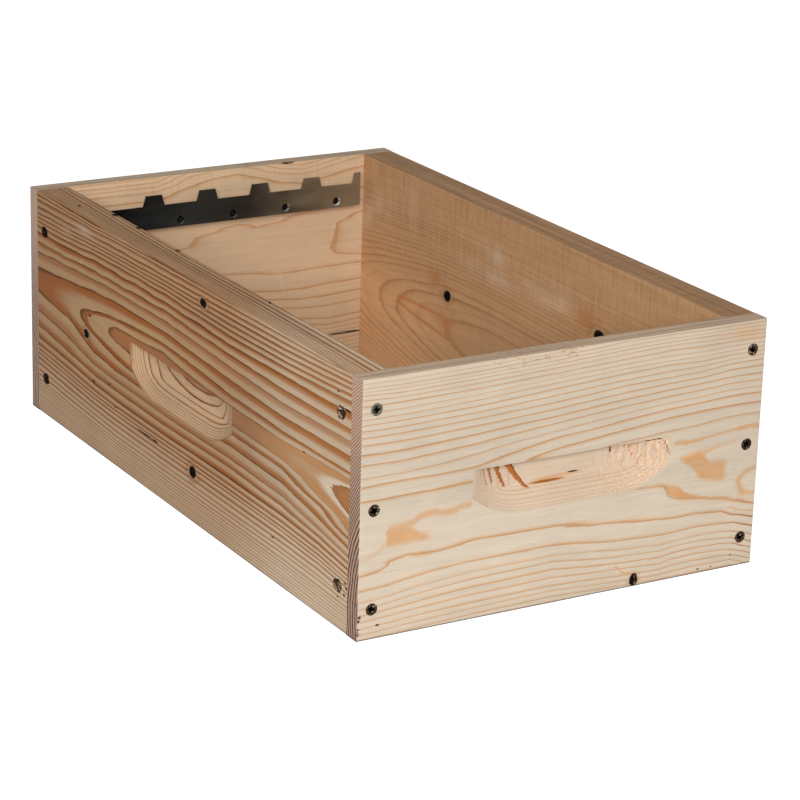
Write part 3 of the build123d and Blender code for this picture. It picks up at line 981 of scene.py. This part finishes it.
def torn_hold(bm, rng):
    """Overlapping gouges, leaning with the cutter, that tore the right of the front hand-hold."""
    cuts = [(27, 91, 4.5, 2.2, 0.35, 60), (49.4, 85.7, 6.5, 2.6, 0.6, 62), (38, 90, 5.0, 1.8, 0.5, 70)]
    cuts += gouges(rng, 34, (36, 78), (83, 98), (3.6, 6.0), (1.2, 2.0), (0.35, 0.6), (52, 78))
    cuts += gouges(rng, 60, (34, 76), (71, 84), (0.6, 1.2), (0.25, 0.4), (0.08, 0.15), (-10, 30))
    for x, z, length, half, bite, lean in cuts:
        deep = hold_depth(x, z)
        if deep > 0.5:
            blob(bm, (x, FRONT + deep, z), (length, bite, half), rng, 0.12, (0, -math.radians(lean), 0))


def torn_edge(bm, rng):
    """Small chips along the front board's top edge."""
    for _ in range(26):
        x = rng.uniform(-56, 12)
        size = (rng.uniform(0.8, 2.6), rng.uniform(0.3, 0.7), rng.uniform(0.4, 1.1))
        blob(bm, (x, FRONT, TOP - rng.uniform(0, 1) ** 2 * 8), size, rng, 0.3)


def ragged_screws(bm, rng):
    """Splintered wood round the screw heads on the left board."""
    for y, z, chips in (
            (NEAR_SCREW, HIGH_SCREW, 14), (NEAR_SCREW, LOW_SCREW, 14), (FAR_SCREW, HIGH_SCREW, 6),
            (FAR_SCREW, LOW_SCREW, 8)):
        for _ in range(chips):
            angle = rng.uniform(0, 2 * math.pi)
            reach = rng.uniform(4.2, 5.8)
            size = (rng.uniform(0.4, 0.9), rng.uniform(0.8, 2.2), rng.uniform(0.4, 0.8))
            blob(bm, (LEFT, y + reach * math.cos(angle), z + reach * 0.8 * math.sin(angle)), size, rng, 0.3)


WEAR = {"front": (torn_hold, torn_edge), "left": (ragged_screws,)}


def cutter(wood):
    """All that is cut out of a board."""
    rng = random.Random(wood.name)
    bm = bmesh.new()
    for centre, reach in wood.knots:
        blob(bm, centre, reach, rng, 0.3)
    for centre, reach in wood.pits:
        blob(bm, centre, reach, rng)
    for wear in WEAR.get(wood.name, ()):
        wear(bm, rng)
    name = wood.name + "_cuts"
    return added(name, mesh_of(bm, name))


def board(wood):
    """A worn board in place of its CAD node."""
    node = wood.name + "_wall"
    tool = cutter(wood)
    piece = added(wood.name + "_board", closed_copy(node))
    cut = piece.modifiers.new("cut", "BOOLEAN")
    cut.operation = "DIFFERENCE"
    cut.solver = "EXACT"
    cut.use_self = True
    cut.object = tool
    whole = bpy.data.meshes.new_from_object(piece.evaluated_get(bpy.context.evaluated_depsgraph_get()))
    piece.modifiers.clear()
    piece.data = whole
    whole.name = piece.name
    whole.shade_smooth()
    whole.set_sharp_from_angle(angle=math.radians(28))
    bpy.data.objects.remove(tool)
    dress(whole, wood().material())
    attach(piece, "root")
    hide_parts(node)


for wood in (FrontWood, BackWood, LeftWood, RightWood):
    board(wood)


def splinters(name, y, z, count, start):
    """Torn fibres round a screw that partly hide it, over 1.3 half turns from start."""
    rng = random.Random(name)
    bm = bmesh.new()
    for _ in range(count):
        angle = rng.uniform(start, start + 1.3) * math.pi
        size = (rng.uniform(0.12, 0.2), rng.uniform(0.7, 1.7), rng.uniform(0.2, 0.45))
        place = (LEFT, y - rng.uniform(1.5, 4.6) * math.cos(angle), z + rng.uniform(2, 3.9) * math.sin(angle))
        turn = (rng.uniform(-0.6, 0.6), 0, rng.uniform(-0.12, 0.12))
        blob(bm, place, size, rng, 0.35, turn)
    piece = added(name, mesh_of(bm, name))
    dress(piece.data, bpy.data.materials["pine_front"])
    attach(piece, "root")


splinters("left_front_splinters_top", NEAR_SCREW, HIGH_SCREW, 14, 0.35)
splinters("left_front_splinters_bottom", NEAR_SCREW, LOW_SCREW, 20, -0.95)


# Materials of the CAD nodes that stay

def end_heads():
    """The heads of the end boards' screws, seen along Y."""
    heads = []
    for name in nodes:
        if "screw" in name and name.startswith("front"):
            low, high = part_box(name)
            centre = [(a + b) / 2 / MM for a, b in zip(low, high)]
            radius = (high[0] - low[0]) / 2 / MM
            heads.append((centre, (radius, 1 / MM, radius)))
    return heads


steel = steel_with_painted_reflection()
nail_metal = metal("nail_dark", srgb(38, 36, 34), 0.4, 0.5)
bronze = metal("screw_bronze", srgb(76, 60, 46), 0.26, 0.8, srgb(38, 27, 20), SCREW_HOLLOW_SHADE, end_heads())
sunk_bronze = metal("screw_bronze_sunk", srgb(42, 29, 22), 0.5, 0.8, srgb(16, 11, 9), SCREW_HOLLOW_SHADE, shine=0.0)
for name, node in nodes.items():
    if name.endswith("frame_rest"):
        dress(node.data, bpy.data.materials["pine_back"])
    elif name.endswith("frame_spacer"):
        dress(node.data, steel)
    elif "spacer_nail" in name:
        dress(node.data, nail_metal)
    elif "screw" in name:
        dress(node.data, sunk_bronze if name.startswith(("left", "right")) else bronze)


# Floor, light and camera

def floor_material():
    sh = Shader("floor_white")
    place, _ = sh.position()
    tone = sh.noise(place, detail=2, scale=0.004) * 0.02 + 0.8
    sh.put(sh.vector(tone, tone, tone), sh.bsdf.inputs["Base Color"])
    sh.bsdf.inputs["Roughness"].default_value = 0.9
    sh.bsdf.inputs["Specular IOR Level"].default_value = 0.0
    sh.bsdf.inputs["Emission Color"].default_value = (1, 1, 1, 1)
    sh.put(sh.looked_at() * 0.7, sh.bsdf.inputs["Emission Strength"])
    return sh.data


bpy.ops.mesh.primitive_plane_add(size=30, location=(0, 0, 0))
floor = bpy.context.object
floor.name = "floor"
floor.data.materials.append(floor_material())


def area(name, place, aim, size, power):
    """A round lamp, in metres and watts."""
    lamp = bpy.data.lights.new(name, "AREA")
    lamp.shape = "DISK"
    lamp.size = size
    lamp.energy = power
    made = added(name, lamp)
    made.location = place
    made.rotation_euler = (Vector(aim) - Vector(place)).to_track_quat("-Z", "Y").to_euler()


area("key", (-1.176, -1.958, 1.017), (0, 0, 0.1), 0.9, 43)
area("overhead", (0, 0.1, 2.2), (0, 0, 0), 0.6, 10)

SKY_LIGHT = 0.26
studio = Shader("studio", bpy.data.worlds)
background = studio.tree.nodes["Background"]
background.inputs["Color"].default_value = (1, 1, 1, 1)
studio.put(studio.looked_at() * (1 - SKY_LIGHT) + SKY_LIGHT, background.inputs["Strength"])
scene.world = studio.data

# The camera's angles in degrees, its place to the right, up and back in millimetres, and its focal length
TURN, TILT, ROLL = -30.643, 18.703, 1.748
CAMERA_RIGHT, CAMERA_UP, CAMERA_BACK = 22.33, 55.75, 2072.35
FOCAL_LENGTH, SENSOR = 131.37, 36.0
turn, tilt, roll = (math.radians(angle) for angle in (TURN, TILT, ROLL))
back = Vector((math.sin(turn) * math.cos(tilt), -math.cos(turn) * math.cos(tilt), math.sin(tilt)))
level = Vector((math.cos(turn), math.sin(turn), 0))
upright = back.cross(level)
right = math.cos(roll) * level + math.sin(roll) * upright
up = math.cos(roll) * upright - math.sin(roll) * level
lens = bpy.data.cameras.new("camera")
lens.lens, lens.sensor_width = FOCAL_LENGTH, SENSOR
camera = added("camera", lens)
place = (CAMERA_RIGHT * right + CAMERA_UP * up + CAMERA_BACK * back) * MM
camera.matrix_world = Matrix.Translation(place) @ Matrix((right, up, back)).transposed().to_4x4()
scene.camera = camera
scene.view_settings.view_transform = "Standard"
